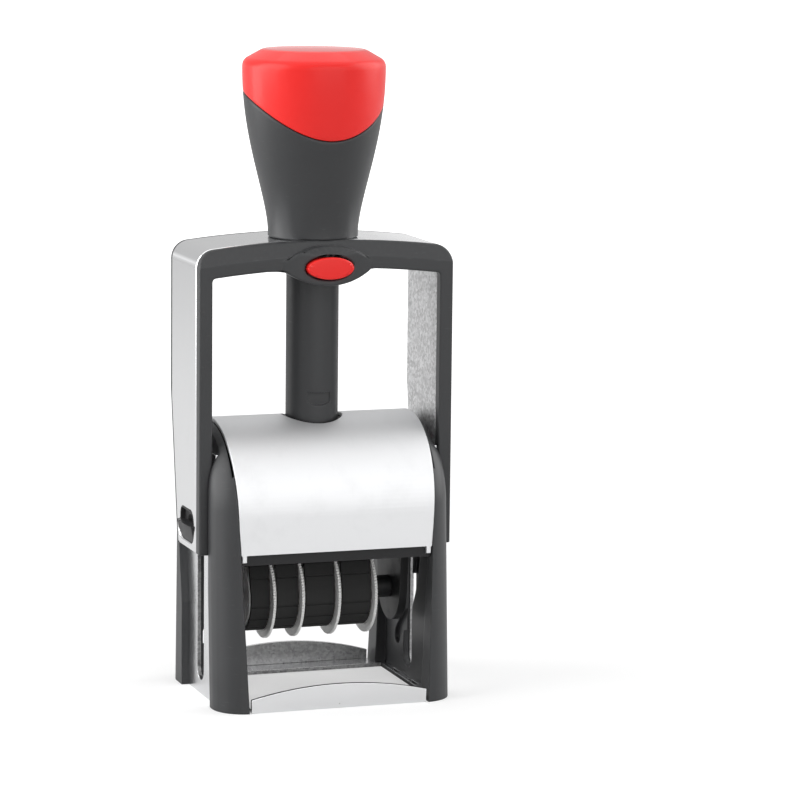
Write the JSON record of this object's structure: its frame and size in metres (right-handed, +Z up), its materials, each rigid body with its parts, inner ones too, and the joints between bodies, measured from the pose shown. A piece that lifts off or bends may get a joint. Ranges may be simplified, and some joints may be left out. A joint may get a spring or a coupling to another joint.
{
  "type": "date stamp",
  "caption": "Self-inking date stamp: bright yoke with a round handle slides down a column and turns the print head with its date bands over onto the paper.",
  "frame": {"origin": "centre of the base on the desk, under the axis of the column", "axes": "+Z up along the column, +Y to the rear, +X to the right seen from the front"},
  "size_m": [0.0666, 0.048, 0.1596],
  "materials": {
    "chrome_sheet": "bright chrome plate",
    "chrome_strip": "bright chrome outside, bare zinc inside",
    "grey_plastic": "fine satin moulding",
    "black_plastic": "satin moulding",
    "red_plastic": "gloss moulding",
    "white_plastic": "satin moulding",
    "band_rubber": "matt rubber",
    "plate_rubber": "matt photopolymer",
    "ink_felt": "inked felt",
    "steel": "ground steel"
  },
  "bodies": {
    "base": {"base_frame": "chrome_sheet", "left_cheek": "grey_plastic", "right_cheek": "grey_plastic", "pad_housing": "black_plastic", "dome_cover": "chrome_sheet", "guide_column": "grey_plastic", "main_spring": "steel"},
    "pad_cassette": {"pad_tray": "black_plastic", "ink_pad": "ink_felt"},
    "yoke": {"yoke_strip": "chrome_strip", "front_trim": "grey_plastic", "rear_trim": "grey_plastic", "yoke_bridge": "black_plastic", "handle_grip": "grey_plastic", "handle_cap": "red_plastic", "spring_plunger": "black_plastic", "left_pivot_pin": "steel", "right_pivot_pin": "steel", "left_pin_clip": "black_plastic", "right_pin_clip": "black_plastic"},
    "button": {"lock_button": "red_plastic"},
    "print_head": {"head_frame": "black_plastic", "left_head_plate": "black_plastic", "right_head_plate": "black_plastic", "text_plate": "plate_rubber", "band_bridge": "black_plastic", "wheel_axle": "steel", "axle_spacer": "black_plastic", "date_band_1": "band_rubber", "date_band_2": "band_rubber", "date_band_3": "band_rubber", "date_band_4": "band_rubber"},
    "wheel_1": {"thumbwheel_1": "white_plastic"},
    "wheel_2": {"thumbwheel_2": "white_plastic"},
    "wheel_3": {"thumbwheel_3": "white_plastic"},
    "wheel_4": {"thumbwheel_4": "white_plastic"}
  },
  "joints": [
    {"name": "yoke_slide", "type": "slide", "parent": "base", "child": "yoke", "axis": [0, 0, -1], "range_m": [0, 0.0333], "stiffness_N_per_m": 500, "springref_m": -0.016, "deforming": ["main_spring"]},
    {"name": "head_flip", "type": "hinge", "parent": "yoke", "child": "print_head", "pos_m": [0, 0, 0.043], "axis": [1, 0, 0], "range_deg": [0, 180]},
    {"name": "button_press", "type": "slide", "parent": "yoke", "child": "button", "axis": [0, 1, 0], "range_m": [0, 0.002], "stiffness_N_per_m": 400, "springref_m": -0.001},
    {"name": "pad_slide", "type": "slide", "parent": "base", "child": "pad_cassette", "axis": [0, 1, 0], "range_m": [0, 0.045]},
    {"name": "wheel_1_turn", "type": "hinge", "parent": "print_head", "child": "wheel_1", "pos_m": [0, 0, 0.0245], "axis": [1, 0, 0], "continuous": true},
    {"name": "wheel_2_turn", "type": "hinge", "parent": "print_head", "child": "wheel_2", "pos_m": [0, 0, 0.0245], "axis": [1, 0, 0], "continuous": true},
    {"name": "wheel_3_turn", "type": "hinge", "parent": "print_head", "child": "wheel_3", "pos_m": [0, 0, 0.0245], "axis": [1, 0, 0], "continuous": true},
    {"name": "wheel_4_turn", "type": "hinge", "parent": "print_head", "child": "wheel_4", "pos_m": [0, 0, 0.0245], "axis": [1, 0, 0], "continuous": true}
  ],
  "couplings": [
    {"joint": "head_flip", "follows": "yoke_slide", "rad_per_m": 94.33}
  ]
}
